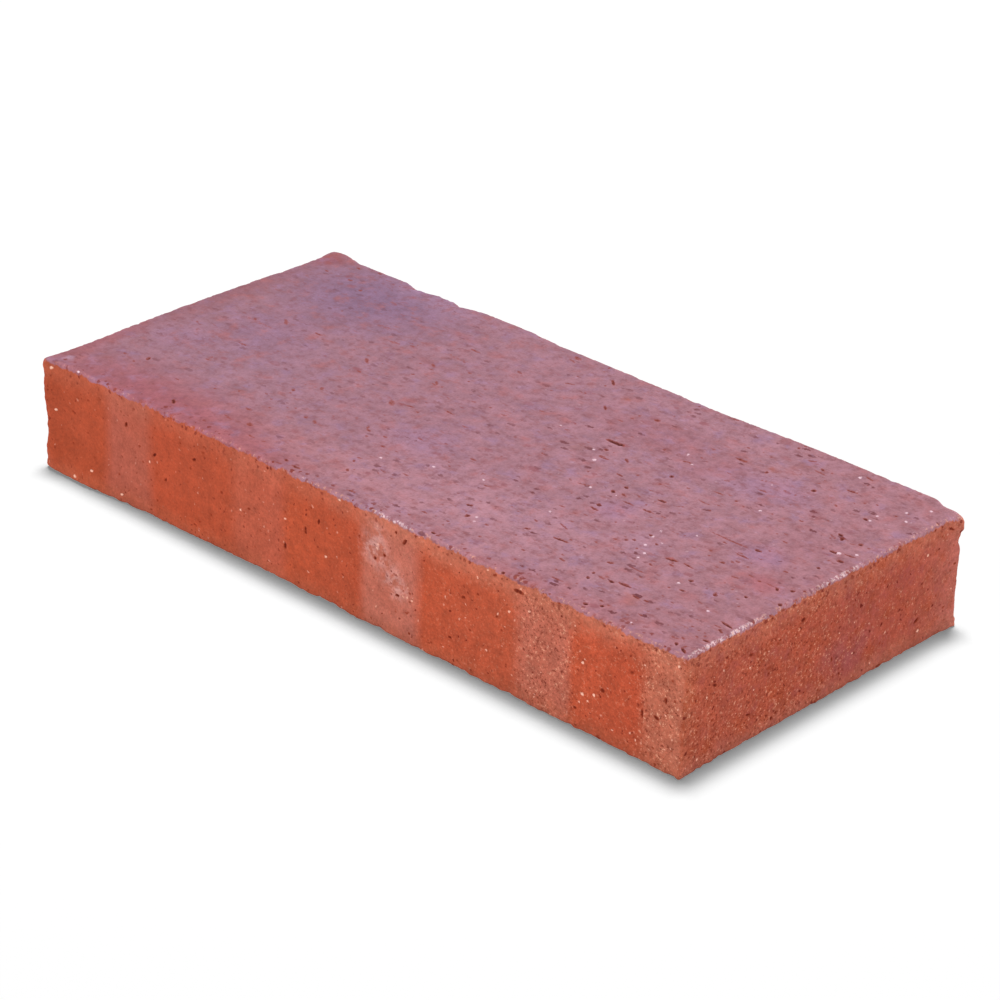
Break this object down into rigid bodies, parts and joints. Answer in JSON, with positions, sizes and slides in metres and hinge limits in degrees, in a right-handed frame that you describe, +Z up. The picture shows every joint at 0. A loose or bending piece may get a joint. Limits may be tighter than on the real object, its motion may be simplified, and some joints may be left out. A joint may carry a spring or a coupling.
{
  "type": "clay paver",
  "caption": "Thin fired-clay paver, 203 x 95 x 29 mm, mauve flashed face, orange-red kiln-banded sides and soft chipped arrises.",
  "frame": {"origin": "middle of the bed face, the flat face that the paver lies on", "axes": "+X along the 203 mm length, +Y across the 95 mm width, +Z up out of the wearing face"},
  "size_m": [0.2058, 0.0974, 0.0302],
  "materials": {
    "fired_clay": "matte, as fired: mauve flashed wearing face, orange-red banded sides"
  },
  "bodies": {
    "root": {"paver": "fired_clay"}
  },
  "joints": []
}
